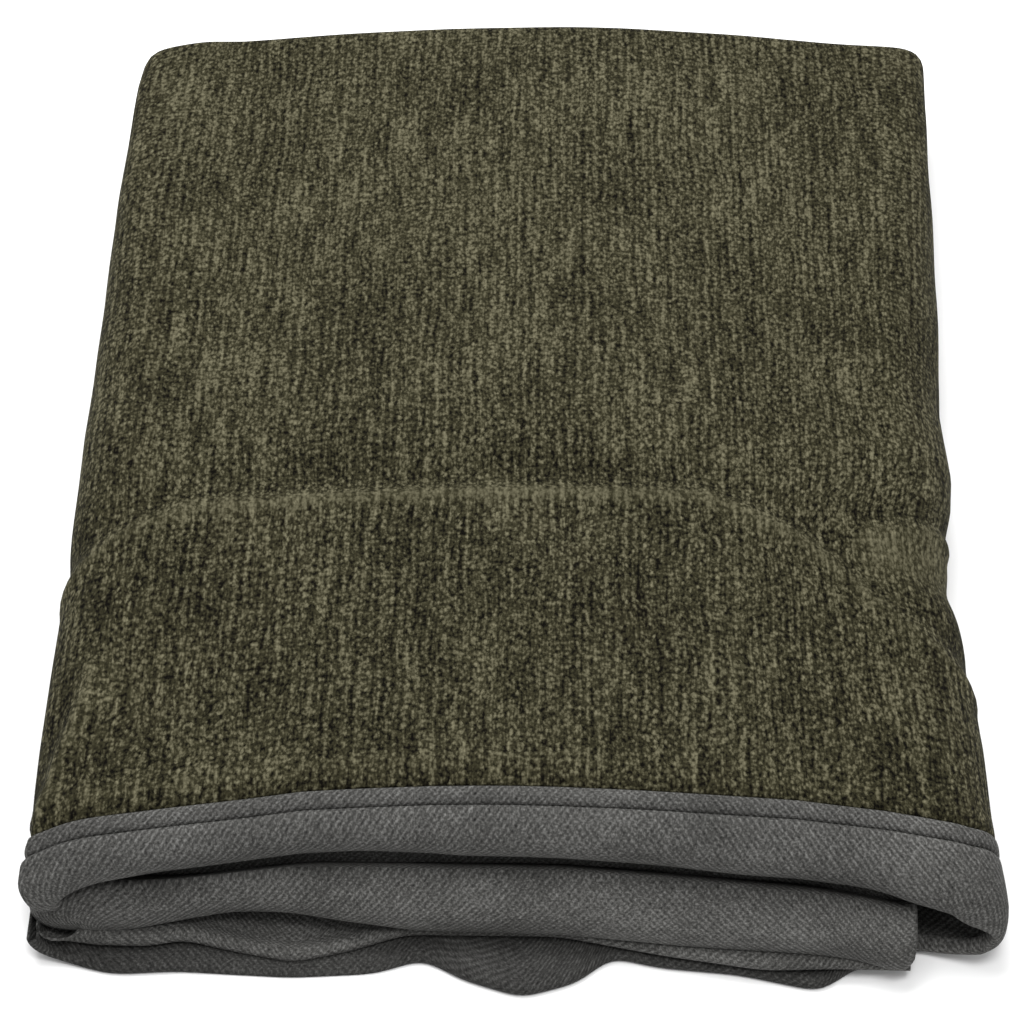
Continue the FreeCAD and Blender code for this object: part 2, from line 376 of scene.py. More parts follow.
def cloth_mesh(name, place, u_grid, outer, inner, crease=1.0):
    """A closed cloth: the outer and inner section runs carried along u_grid (rows) and joined."""
    rows, columns = u_grid.shape
    skins = []
    for run in (outer, inner):
        y = np.broadcast_to(run[..., 0], u_grid.shape)
        d = np.broadcast_to(run[..., 1], u_grid.shape)
        skins.append(np.stack(place(u_grid, y, d, crease), axis=-1).reshape(-1, 3))
    count = rows * columns
    index = np.arange(count).reshape(rows, columns)
    a, b = index[:-1, :-1].ravel(), index[1:, :-1].ravel()
    c, e = index[1:, 1:].ravel(), index[:-1, 1:].ravel()
    faces = [np.column_stack([a, b, c, e]), np.column_stack([e, c, b, a]) + count]
    for edge, flip in ((index[:, 0], False), (index[:, -1], True), (index[0], True), (index[-1], False)):
        near, far = edge[:-1], edge[1:]
        quads = np.column_stack([near, near + count, far + count, far])
        faces.append(quads[:, ::-1] if flip else quads)
    faces = np.vstack(faces)
    mesh = bpy.data.meshes.new(name)
    mesh.from_pydata(np.vstack(skins).tolist(), [], faces.tolist())
    v = np.broadcast_to(section_lengths(outer), u_grid.shape).ravel()
    weave = np.column_stack([u_grid.ravel(), v])
    add_weave_map(mesh, np.vstack([weave, weave]))
    face_outwards(mesh)
    return mesh


def face_outwards(mesh):
    shell = bmesh.new()
    shell.from_mesh(mesh)
    bmesh.ops.recalc_face_normals(shell, faces=shell.faces)
    shell.to_mesh(mesh)
    shell.free()


def add_weave_map(mesh, weave):
    """Lay the cloth's own coordinates, in metres, over the mesh for the finishes."""
    layer = mesh.uv_layers.new(name=WEAVE_MAP)
    loop_vertices = np.zeros(len(mesh.loops), np.int32)
    mesh.loops.foreach_get("vertex_index", loop_vertices)
    layer.data.foreach_set("uv", weave[loop_vertices].ravel().astype(np.float32))


def add_tone(mesh, tone):
    """Lay a paler or darker tone over the mesh, one value at each point."""
    layer = mesh.attributes.new(TONE_MAP, "FLOAT", "POINT")
    layer.data.foreach_set("value", np.asarray(tone, np.float32).ravel())


def make_object(name, mesh, material, body, nodes):
    made = bpy.data.objects.new(name, mesh)
    bpy.context.scene.collection.objects.link(made)
    mesh.materials.append(material)
    mesh.polygons.foreach_set("use_smooth", np.ones(len(mesh.polygons), bool))
    mesh.update()
    if body == "roll":
        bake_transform(made)
    else:
        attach(made, body)
    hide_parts(*nodes)
    return made


def even_steps(start, end, step):
    return np.linspace(start, end, max(2, int(round(abs(end - start) / step)) + 1))


def sleeve_section(front, under_front, skin_d, thickness, back_y, fine, coarse):
    """A cloth that runs back over a leaf, round its back fold and forwards under it."""
    under_d = LEAF_T - skin_d
    middle_d = (skin_d + under_d) / 2
    radius = (under_d - skin_d) / 2
    turn_y = back_y - radius
    edge = [(front, skin_d + 0.55 * thickness), (front + 0.0010, skin_d + 0.22 * thickness),
            (front + 0.0030, skin_d + 0.03 * thickness)]
    top = [(y, skin_d) for y in even_steps(front + 0.006, turn_y, fine)]
    turn = []
    for a in np.radians(np.linspace(0, 180, 13))[1:-1]:
        turn.append((turn_y + radius * math.sin(a), middle_d - radius * math.cos(a)))
    under = [(y, under_d) for y in even_steps(turn_y, under_front, coarse)]
    outer = np.array(edge + top + turn + under)
    return outer, offset_section(outer, thickness)


def cover_u_grid(outer, step):
    """Columns of the cover leaf; what lies under it stops before the drooping left edge."""
    starts = DROOP_U * smooth_step(0.001, 0.018, outer[:, 1])
    share = even_steps(0, COVER_LINE.length, step) / COVER_LINE.length
    return starts[None, :] + share[:, None] * (COVER_LINE.length - starts)[None, :]


def plain_u_grid(line, outer, step):
    u = even_steps(0, line.length, step)
    return np.broadcast_to(u[:, None], (len(u), len(outer))).copy()


def bent_run(start, control, end, count):
    """A curve that leaves start towards control and comes down on end."""
    t = np.linspace(0, 1, count)[:, None]
    start, control, end = np.array(start), np.array(control), np.array(end)
    return start * (1 - t) ** 2 + 2 * control * t * (1 - t) + end * t ** 2


def hem_nose(start_y, start_d, shoulder_y, front_y, low_y, low_d, valley=0.0, tuck=0.0024,
             count=14, flat_count=6):
    """A hem's outer run: tucked in at its start, forwards, down over its nose and turned under."""
    first = np.array([(start_y + 0.0002, start_d + 0.0030), (start_y - 0.0002, start_d + 0.0012),
                      (start_y - 0.0011, start_d + 0.0002)])
    flat_y = np.linspace(start_y - 0.0025, shoulder_y, flat_count)
    flat = np.column_stack([flat_y, start_d + valley * bell(flat_y, shoulder_y + 0.0085, 0.007)])
    over = bent_run((shoulder_y, start_d), (front_y, start_d + 0.0004), (low_y, low_d), count)
    a = np.radians(np.linspace(0, 180, 8))[1:]
    under = np.column_stack([low_y + tuck * (1 - np.cos(a)), low_d + tuck * np.sin(a)])
    last = np.array([(low_y + 2 * tuck + 0.0006, low_d - 0.006)])
    return np.vstack([first, flat, over[1:], under, last])


def even(value):
    """A table with the same value everywhere."""
    return [0.0], [value]


def read_table(at, table, blur=0.007):
    """A table's value at each place, rounded off so that no corner shows."""
    offsets = blur * np.array([-1.5, -1.0, -0.5, 0.0, 0.5, 1.0, 1.5])
    weights = np.array([0.06, 0.12, 0.20, 0.24, 0.20, 0.12, 0.06])
    return sum(w * np.interp(at + off, *table) for w, off in zip(weights, offsets))


def hem_rows(u, middle_u, tables, corner=0.0, **settings):
    """One hem section for each u; every table is (places, values) read at u - middle_u.

    A corner above 0 rounds the hem's last front corner off by that much.
    """
    read = {key: read_table(u - middle_u, table) for key, table in tables.items()}
    rows = []
    for k in range(len(u)):
        rows.append(hem_nose(**{key: values[k] for key, values in read.items()}, **settings))
    outer = np.array(rows)
    if corner:
        turn = np.clip((u - u[-1]) / corner + 1, 0, 1)
        share = smooth_step(outer[..., 0].max(axis=1)[:, None], outer[..., 0].min(axis=1)[:, None],
                            outer[..., 0])
        outer[..., 0] += corner * (1 - np.sqrt(1 - turn ** 2))[:, None] * share
    columns = np.broadcast_to(u[:, None], outer.shape[:2]).copy()
    return columns, outer


# ---------------------------------------------------------------------------
# Finishes
# ---------------------------------------------------------------------------

class NodeSheet:
    """Short calls for building a finish out of shader nodes."""

    def __init__(self, name):
        self.material = bpy.data.materials.new(name)
        self.material.use_nodes = True
        self.tree = self.material.node_tree
        self.shader = self.tree.nodes["Principled BSDF"]

    def put(self, socket, value):
        if isinstance(value, bpy.types.NodeSocket):
            self.tree.links.new(value, socket)
        else:
            socket.default_value = value

    def node(self, kind, **settings):
        made = self.tree.nodes.new(kind)
        for key, value in settings.items():
            setattr(made, key, value)
        return made

    def maths(self, operation, a, b=0.0, c=0.0):
        made = self.node("ShaderNodeMath", operation=operation)
        for socket, value in zip(made.inputs, (a, b, c)):
            self.put(socket, value)
        return made.outputs[0]

    def vector(self, x, y, z=0.0):
        made = self.node("ShaderNodeCombineXYZ")
        for socket, value in zip(made.inputs, (x, y, z)):
            self.put(socket, value)
        return made.outputs[0]

    def scaled(self, x, y, x_scale, y_scale, z=0.0):
        """Two cloth coordinates, each times its own scale, as a vector."""
        return self.vector(self.maths("MULTIPLY", x, x_scale), self.maths("MULTIPLY", y, y_scale), z)

    def sway(self, tone, value, middle, gain):
        """The tone moved by how far the value lies from its middle."""
        return self.maths("MULTIPLY_ADD", self.maths("SUBTRACT", value, middle), gain, tone)

    def noise(self, vector, scale, detail=2.0, roughness=0.5):
        made = self.node("ShaderNodeTexNoise")
        self.put(made.inputs["Vector"], vector)
        made.inputs["Scale"].default_value = scale
        made.inputs["Detail"].default_value = detail
        made.inputs["Roughness"].default_value = roughness
        return made.outputs["Fac"]

    def cells(self, vector):
        """One random value for each tuft, and how far a point lies from its tuft's middle."""
        made = self.node("ShaderNodeTexVoronoi", voronoi_dimensions="2D")
        self.put(made.inputs["Vector"], vector)
        made.inputs["Scale"].default_value = 1.0
        made.inputs["Randomness"].default_value = 0.85
        split = self.node("ShaderNodeSeparateColor")
        self.put(split.inputs[0], made.outputs["Color"])
        return split.outputs[0], made.outputs["Distance"]

    def ramp(self, value, stops):
        made = self.node("ShaderNodeValToRGB")
        self.put(made.inputs["Fac"], value)
        elements = made.color_ramp.elements
        while len(elements) < len(stops):
            elements.new(0.5)
        for element, (place, colour) in zip(elements, stops):
            element.position = place
            element.color = (*colour, 1.0)
        return made.outputs["Color"]

    def weave_mm(self):
        """Cloth coordinates in millimetres, across and along."""
        source = self.node("ShaderNodeUVMap", uv_map=WEAVE_MAP)
        split = self.node("ShaderNodeSeparateXYZ")
        self.put(split.inputs[0], source.outputs["UV"])
        return (self.maths("MULTIPLY", split.outputs[0], 1000.0),
                self.maths("MULTIPLY", split.outputs[1], 1000.0))

    def relief(self, height, distance, strength=1.0):
        made = self.node("ShaderNodeBump")
        made.inputs["Strength"].default_value = strength
        made.inputs["Distance"].default_value = distance
        self.put(made.inputs["Height"], height)
        self.put(self.shader.inputs["Normal"], made.outputs["Normal"])


def linear(colour):
    """A display colour as the scene-linear colour that shaders take."""
    return tuple(c / 12.92 if c <= 0.04045 else ((c + 0.055) / 1.055) ** 2.4 for c in colour)


def cloth_shader(sheet, roughness, sheen, tint, gloss=0.18):
    shader = sheet.shader
    shader.inputs["Roughness"].default_value = roughness
    shader.inputs["Specular IOR Level"].default_value = gloss
    shader.inputs["Sheen Weight"].default_value = sheen
    shader.inputs["Sheen Roughness"].default_value = 0.45
    shader.inputs["Sheen Tint"].default_value = (*tint, 1.0)


def chenille_finish():
    """Two-tone chenille: tufted yarn in upright columns, streaked and speckled."""
    found = bpy.data.materials.get("chenille")
    if found:
        return found
    colours = bpy.context.scene.blanket_colours
    yarn = bpy.context.scene.blanket_sizes.chenille_yarn * 1000
    s = NodeSheet("chenille")
    across, along = s.weave_mm()
    drift = s.noise(s.scaled(across, along, 0.02, 0.02), 1.0)
    across = s.maths("ADD", across, s.maths("MULTIPLY", drift, 6.0))
    column = s.maths("DIVIDE", across, 2 * yarn)
    rib = s.maths("SINE", s.maths("MULTIPLY", column, 2 * math.pi))
    streak = s.noise(s.scaled(across, along, 0.26, 0.020), 1.0, 3.0, 0.6)
    speckle = s.noise(s.scaled(across, along, 1.7 / yarn, 1.1 / yarn), 1.0, 2.0, 0.55)
    tuft_colour, tuft_reach = s.cells(s.scaled(across, along, 1.3 / yarn, 0.85 / yarn))
    dash = s.noise(s.scaled(across, along, 0.30, 0.36, 7.0), 1.0, 2.0, 0.6)
    patch = s.noise(s.scaled(across, along, 0.014, 0.011), 1.0, 2.0)
    fibre = s.noise(s.vector(across, s.maths("MULTIPLY", along, 0.8)), 2.2, 2.0, 0.6)
    brushed_and_painted_light = s.node("ShaderNodeAttribute", attribute_name=TONE_MAP).outputs["Fac"]
    tone = 0.45
    for value, middle, gain in ((speckle, 0.5, 1.0), (tuft_colour, 0.5, 0.34), (tuft_reach, 0.42, -0.45),
                                (dash, 0.5, 1.05), (streak, 0.5, 1.0), (patch, 0.5, 0.35),
                                (fibre, 0.5, 0.25)):
        tone = s.sway(tone, value, middle, gain)
    tone = s.maths("MULTIPLY_ADD", rib, 0.07, tone)
    # above 0 the speckle is calmed, as where brushing has opened the pile; then the tone paints its
    # highlight and shade into the colour
    calm = s.maths("MULTIPLY", s.maths("MAXIMUM", brushed_and_painted_light, 0.0), 0.6)
    tone = s.maths("MULTIPLY_ADD", s.maths("SUBTRACT", 0.52, tone), calm, tone)
    tone = s.maths("MULTIPLY_ADD", brushed_and_painted_light, 0.22, tone)
    dark, light = linear(colours.chenille_dark), linear(colours.chenille_light)
    stops = [(0.06, dark), (0.46, linear(colours.chenille)), (1.0, light)]
    s.put(s.shader.inputs["Base Color"], s.ramp(tone, stops))
    height = s.maths("MULTIPLY", dash, 0.35)
    for value, gain in ((speckle, 0.5), (tuft_reach, -0.5), (fibre, 0.12), (rib, 0.06)):
        height = s.maths("MULTIPLY_ADD", value, gain, height)
    s.relief(height, 0.0014, 0.8)
    cloth_shader(s, 0.95, 0.05, light, 0.08)
    return s.material


def lining_finish(name, shade=1.0):
    """Woven grey cloth whose yarns cross at a slant, leaning one way left and the other right."""
    found = bpy.data.materials.get(name)
    if found:
        return found
    colours = bpy.context.scene.blanket_colours
    yarn = bpy.context.scene.blanket_sizes.lining_yarn * 1000
    s = NodeSheet(name)
    across, along = s.weave_mm()
    drift = s.noise(s.scaled(across, along, 0.03, 0.03), 1.0)
    across_d = s.maths("ADD", across, s.maths("MULTIPLY", drift, 2.5))
    turn = 2 * math.pi / (2 * yarn)
    slant_a = s.maths("SINE", s.maths("MULTIPLY", s.maths("ADD", across_d, along), turn))
    slant_b = s.maths("SINE", s.maths("MULTIPLY", s.maths("SUBTRACT", across_d, along), turn))
    side = s.node("ShaderNodeMapRange", interpolation_type="SMOOTHSTEP")
    s.put(side.inputs["Value"], across)
    for key, value in (("From Min", 180.0), ("From Max", 430.0), ("To Min", 0.22), ("To Max", 0.78)):
        side.inputs[key].default_value = value
    lean = side.outputs[0]
    weave = s.maths("MULTIPLY_ADD", slant_b, lean,
                    s.maths("MULTIPLY", slant_a, s.maths("SUBTRACT", 1.0, lean)))
    slub = s.noise(s.scaled(across, along, 0.8, 1.0), 1.0, 3.0, 0.6)
    patch = s.noise(s.scaled(across, along, 0.018, 0.03), 1.0, 2.0)
    fibre = s.noise(s.vector(across, along), 1.9, 2.0, 0.6)
    blur = s.noise(s.scaled(across, along, 0.30, 0.22, 3.0), 1.0, 2.0)
    tone = s.maths("MULTIPLY_ADD", weave, 0.12, 0.5)
    for value, gain in ((blur, 0.45), (slub, 1.25), (patch, 0.35), (fibre, 0.45)):
        tone = s.sway(tone, value, 0.5, gain)
    # a shade under 1 darkens every tone of the cloth: painted shade
    dark, middle, light = (tuple(c * shade for c in linear(colour)) for colour in
                           (colours.lining_dark, colours.lining, colours.lining_light))
    stops = [(0.08, dark), (0.5, middle), (0.92, light)]
    s.put(s.shader.inputs["Base Color"], s.ramp(tone, stops))
    height = s.maths("MULTIPLY_ADD", weave, 0.5, s.maths("MULTIPLY", slub, 0.5))
    s.relief(height, 0.0005, 0.8)
    cloth_shader(s, 0.88, 0.10, light)
    return s.material


def thread_finish():
    found = bpy.data.materials.get("thread")
    if found:
        return found
    colours = bpy.context.scene.blanket_colours
    s = NodeSheet("thread")
    across, along = s.weave_mm()
    twist = s.maths("SINE", s.maths("MULTIPLY", s.maths("ADD", across, along), 9.0))
    colour = linear(colours.thread)
    s.put(s.shader.inputs["Base Color"],
          s.ramp(s.maths("MULTIPLY_ADD", twist, 0.5, 0.5),
                 [(0.0, tuple(c * 0.7 for c in colour)), (1.0, tuple(c * 1.3 for c in colour))]))
    s.relief(twist, 0.0001, 0.6)
    cloth_shader(s, 0.6, 0.1, colour)
    return s.material


# ---------------------------------------------------------------------------
# Sizes and colours that a user may change
# ---------------------------------------------------------------------------

class BlanketSizes(bpy.types.PropertyGroup):
    face_thickness: bpy.props.FloatProperty(
        name="Face cloth", description="Thickness of the chenille with its pile",
        default=0.005, min=0.002, max=0.007, unit="LENGTH")
    lining_thickness: bpy.props.FloatProperty(
        name="Lining", description="Thickness of the woven lining",
        default=0.0026, min=0.001, max=0.003, unit="LENGTH")
    welt_rise: bpy.props.FloatProperty(
        name="Edge strip", description="How far the strip beside the face cloth stands up",
        default=0.0014, min=0.0, max=0.004, unit="LENGTH")
    crease: bpy.props.FloatProperty(
        name="Creases", description="Depth of the cover leaf's creases, 1 as folded",
        default=1.0, min=0.0, max=2.0, subtype="FACTOR")
    chenille_yarn: bpy.props.FloatProperty(
        name="Chenille yarn", description="Width of one chenille yarn",
        default=0.0025, min=0.001, max=0.005, unit="LENGTH")
    lining_yarn: bpy.props.FloatProperty(
        name="Lining yarn", description="Width of one lining yarn",
        default=0.0019, min=0.0005, max=0.004, unit="LENGTH")
    stitch_pitch: bpy.props.FloatProperty(
        name="Stitch pitch", description="Distance from one stitch to the next",
        default=0.0042, min=0.002, max=0.01, unit="LENGTH")
    thread: bpy.props.FloatProperty(
        name="Thread", description="Thickness of the sewing thread",
        default=0.0009, min=0.0003, max=0.002, unit="LENGTH")


def colour_property(label, words, default):
    return bpy.props.FloatVectorProperty(
        name=label, description=words, default=default, size=3, min=0.0, max=1.0,
        subtype="COLOR_GAMMA")


class BlanketColours(bpy.types.PropertyGroup):
    chenille: colour_property("Chenille", "Middle tone of the face cloth", (0.178, 0.170, 0.114))
    chenille_dark: colour_property("Chenille, dark yarn", "Darkest tone", (0.020, 0.015, 0.006))
    chenille_light: colour_property("Chenille, light yarn", "Lightest tone", (0.400, 0.386, 0.308))
    lining: colour_property("Lining", "Middle tone of the lining and hems", (0.256, 0.254, 0.246))
    lining_dark: colour_property("Lining, dark", "Tone between the yarns", (0.055, 0.054, 0.052))
    lining_light: colour_property("Lining, light", "Tone on top of the yarns", (0.445, 0.443, 0.434))
    thread: colour_property("Thread", "Colour of the stitching", (0.11, 0.108, 0.10))


# ---------------------------------------------------------------------------
# Pieces
# ---------------------------------------------------------------------------

def make_cloth(name, place, grid, runs, finish, body, nodes, crease=1.0):
    """Make a cloth from its outer and inner runs."""
    outer, inner = runs
    mesh = cloth_mesh(name, place, grid, outer, inner, crease)
    made = make_object(name, mesh, finish, body, nodes)


def make_plain_leaf(leaf, place, line, sizes, fronts, back_y, steps):
    """A plain leaf's chenille and lining; fronts holds where each begins, above and below."""
    fine, coarse, column = steps
    runs = sleeve_section(*fronts[0], 0.0, sizes.face_thickness, back_y, fine, coarse)
    make_cloth(f"{leaf}_chenille", place, plain_u_grid(line, runs[0], column), runs,
               chenille_finish(), PILE,
               [f"{leaf}_face_outer", f"{leaf}_face_inner", f"{leaf}_back_fold"])
    skin = sizes.face_thickness + SKIN_GAP
    runs = sleeve_section(*fronts[1], skin, sizes.lining_thickness, back_y - skin, 0.012, 0.016)
    make_cloth(f"{leaf}_lining", place, plain_u_grid(line, runs[0], 0.012), runs,
               lining_finish("lining"), PILE,
               [f"{leaf}_lining_outer", f"{leaf}_lining_inner", f"{leaf}_back_fold_lining"])


def make_under_hem(leaf, place, u, start_y, shoulder_y, low_y, body, crease):
    """The hem under a leaf's front, of the same section all along."""
    tables = {"start_y": even(start_y), "start_d": even(PLY_PITCH + 0.0005),
              "shoulder_y": even(shoulder_y), "front_y": even(low_y - 0.0015),
              "low_y": even(low_y), "low_d": even(0.0195)}
    grid, outer = hem_rows(u, 0.0, tables, tuck=0.0016, count=8)
    make_cloth(f"{leaf}_under_hem", place, grid, (outer, offset_section(outer, UNDER_HEM_T)),
               lining_finish("hem_cloth"), body, [f"{leaf}_hem_inner"], crease)


class BLANKET_OT_cover_leaf(bpy.types.Operator):
    """Make the cover leaf: chenille outside, lining inside, folded round at the back"""
    bl_idname = "blanket.cover_leaf"
    bl_label = "Cover leaf"

    def execute(self, context):
        sizes = context.scene.blanket_sizes
        outer, inner = sleeve_section(BORDER_Y, COVER_NOSE_Y + 0.048, 0.0, sizes.face_thickness,
                                      BACK_Y, 0.0038, 0.012)
        grid = cover_u_grid(outer, 0.0038)
        mesh = cloth_mesh("cover_chenille", place_cover, grid, outer, inner, sizes.crease)
        on_top = (outer[:, 1] < 0.001)[None, :]
        # the tone on the top: paler brushing with painted highlight and painted shade
        tone = brushed_pile_and_painted_light(grid - COVER_MID_U, outer[None, :, 0]) * on_top * sizes.crease
        add_tone(mesh, np.concatenate([tone.ravel(), np.zeros(tone.size)]))
        face = make_object("cover_chenille", mesh, chenille_finish(), "roll",
                           ["cover_face_outer", "cover_face_inner", "cover_back_fold"])
        skin = sizes.face_thickness + SKIN_GAP
        outer, inner = sleeve_section(BORDER_Y - 0.012, COVER_NOSE_Y + 0.016, skin,
                                      sizes.lining_thickness, BACK_Y - skin, 0.010, 0.016)
        grid_in = cover_u_grid(outer, 0.010)
        mesh = cloth_mesh("cover_lining", place_cover, grid_in, outer, inner, sizes.crease)
        lining = make_object("cover_lining", mesh, lining_finish("lining"), "roll",
                             ["cover_lining_outer", "cover_lining_inner", "cover_back_fold_lining"])
        # both cloths are declared with the lining's run, the longer of the two
        return {"FINISHED"}


class BLANKET_OT_cover_hem(bpy.types.Operator):
    """Make the cover leaf's hem: proud edge strip, wide band turned under, and the hem beneath"""
    bl_idname = "blanket.cover_hem"
    bl_label = "Cover leaf's hem"

    def execute(self, context):
        sizes = context.scene.blanket_sizes
        grey = lining_finish("hem_cloth")
        strip_y = BORDER_Y - 0.0003
        width = strip_y - GROOVE_Y - 0.0005
        rise = sizes.welt_rise
        angles = np.radians(np.linspace(0, 180, 13))
        outer = np.array([(strip_y - width * (1 - math.cos(a)) / 2,
                           0.0026 - (0.0026 + rise) * math.sin(a) ** 0.5) for a in angles])
        inner = np.array([(strip_y - 0.001 - (width - 0.002) * (1 - math.cos(a)) / 2, 0.0048)
                          for a in angles])
        grid = plain_u_grid(COVER_LINE, outer, 0.0035)
        make_cloth("cover_edge_welt", place_cover, grid, (outer, inner), grey, "roll",
                   ["cover_edge_strip"], sizes.crease)

        u = even_steps(0, COVER_LINE.length, 0.0035)
        low_s = [-0.262, -0.222, -0.186, -0.131, -0.081, -0.030, 0.021, 0.074, 0.113, 0.152, 0.179,
                 0.204, 0.228, 0.252, 0.269, 0.30, 0.335]
        low_y = [-0.2765, -0.2730, -0.2707, -0.2700, -0.2700, -0.2738, -0.2742, -0.2750, -0.2770,
                 -0.2775, -0.2782, -0.2835, -0.2845, -0.293, -0.295, -0.298, -0.300]
        tables = {
            "start_y": even(GROOVE_Y - 0.0020), "start_d": even(0.0004),
            "shoulder_y": even(GROOVE_Y - 0.0055), "front_y": (low_s, [y - 0.0035 for y in low_y]),
            "low_y": (low_s, low_y), "low_d": ([-0.25, -0.18, 0.0, 0.25], [0.0155, 0.016, 0.0165, 0.017])}
        grid, outer = hem_rows(u, COVER_MID_U, tables)
        make_cloth("cover_hem_band", place_cover, grid, (outer, offset_section(outer, HEM_CLOTH_T)),
                   grey, "roll", ["cover_hem_outer", "cover_hem_lip"], sizes.crease)
        make_under_hem("cover", place_cover, even_steps(DROOP_U, COVER_LINE.length, 0.006),
                       COVER_NOSE_Y + 0.047, -0.243, -0.251, "roll", sizes.crease)
        return {"FINISHED"}


class BLANKET_OT_turned_leaf(bpy.types.Operator):
    """Make the turned leaf that is folded in from the left, with its hems"""
    bl_idname = "blanket.turned_leaf"
    bl_label = "Turned leaf"

    def execute(self, context):
        sizes = context.scene.blanket_sizes
        hem_y = TURNED_NOSE_Y + HEM_WIDTH
        fronts = ((hem_y + 0.0026, TURNED_NOSE_Y + 0.05), (hem_y - 0.002, TURNED_NOSE_Y + 0.042))
        make_plain_leaf("turned", place_turned, TURNED_LINE, sizes, fronts, BACK_Y - 0.001,
                        (0.007, 0.014, 0.006))
        top_s = [-0.25, -0.174, -0.109, 0.021, 0.099, 0.151, 0.203]
        top_y = [-0.282, -0.280, -0.272, -0.272, -0.277, -0.281, -0.288]
        low_s = [-0.25, -0.203, -0.175, -0.146, -0.118, -0.088, -0.059, 0.021, 0.087, 0.152, 0.180,
                 0.205, 0.209, 0.213]
        low_y = [-0.300, -0.299, -0.2935, -0.289, -0.290, -0.2945, -0.297, -0.2985, -0.3044, -0.3078,
                 -0.3110, -0.3176, -0.3165, -0.312]
        tables = {
            "start_y": even(hem_y), "start_d": ([-0.222, -0.195], [0.0005, 0.0055]),
            "valley": ([-0.246, -0.214], [0.0, 0.0165]),
            "shoulder_y": (top_s, [y - 0.003 for y in top_y]),
            "front_y": (low_s, [y - 0.0015 for y in low_y]), "low_y": (low_s, low_y),
            "low_d": ([-0.25, -0.225, -0.20, -0.16, -0.12, -0.08, -0.05, 0.2],
                      [0.0265, 0.0285, 0.030, 0.0250, 0.0225, 0.0250, 0.030, 0.030])}
        u = even_steps(0, TURNED_LINE.length, 0.0035)
        last = np.linspace(u[-1] - 0.0075, u[-1], 9)
        u = np.concatenate([u[u < last[0] - 0.001], last])
        grid, outer = hem_rows(u, TURNED_MID_U, tables, corner=0.008, count=18, flat_count=14)
        make_cloth("turned_hem_band", place_turned, grid, (outer, offset_section(outer, HEM_CLOTH_T)),
                   lining_finish("hem_cloth"), PILE, ["turned_hem_outer"])
        make_under_hem("turned", place_turned, even_steps(0, TURNED_LINE.length, 0.006),
                       TURNED_NOSE_Y + 0.054, -0.2475, -0.255, PILE, 1.0)
        return {"FINISHED"}


def flat_hem_rows(u, back_y, front, low, high, dip=([0.0], [0.0]), wall=7):
    """Sections of a hem lying flat: forwards at one height, round its nose and back above."""
    rows = []
    front_y, low_d, high_d, dip_d = (read_table(BOTTOM_MID_U - u, table)
                                     for table in (front, low, high, dip))
    a = np.radians(np.linspace(0, 180, wall + 2))
    for nose_y, bottom_d, top_d, dip_depth in zip(front_y, low_d, high_d, dip_d):
        half = (top_d - bottom_d) / 2
        along = nose_y + 0.7 * half + (back_y - nose_y - 0.7 * half) * HEM_STEPS[::-1]
        under = np.column_stack([along, np.full(len(along), bottom_d)])
        turn = np.column_stack([nose_y + 0.7 * half - 0.7 * half * np.sin(a),
                                bottom_d + half * (1 - np.cos(a))])
        back_run = along[::-1]
        hollow = dip_depth * smooth_step(nose_y + 0.003, nose_y + 0.011, back_run)
        over = np.column_stack([back_run, top_d - hollow])
        rows.append(np.vstack([under, turn[1:-1], over]))
    outer = np.array(rows)
    return np.broadcast_to(u[:, None], outer.shape[:2]).copy(), outer


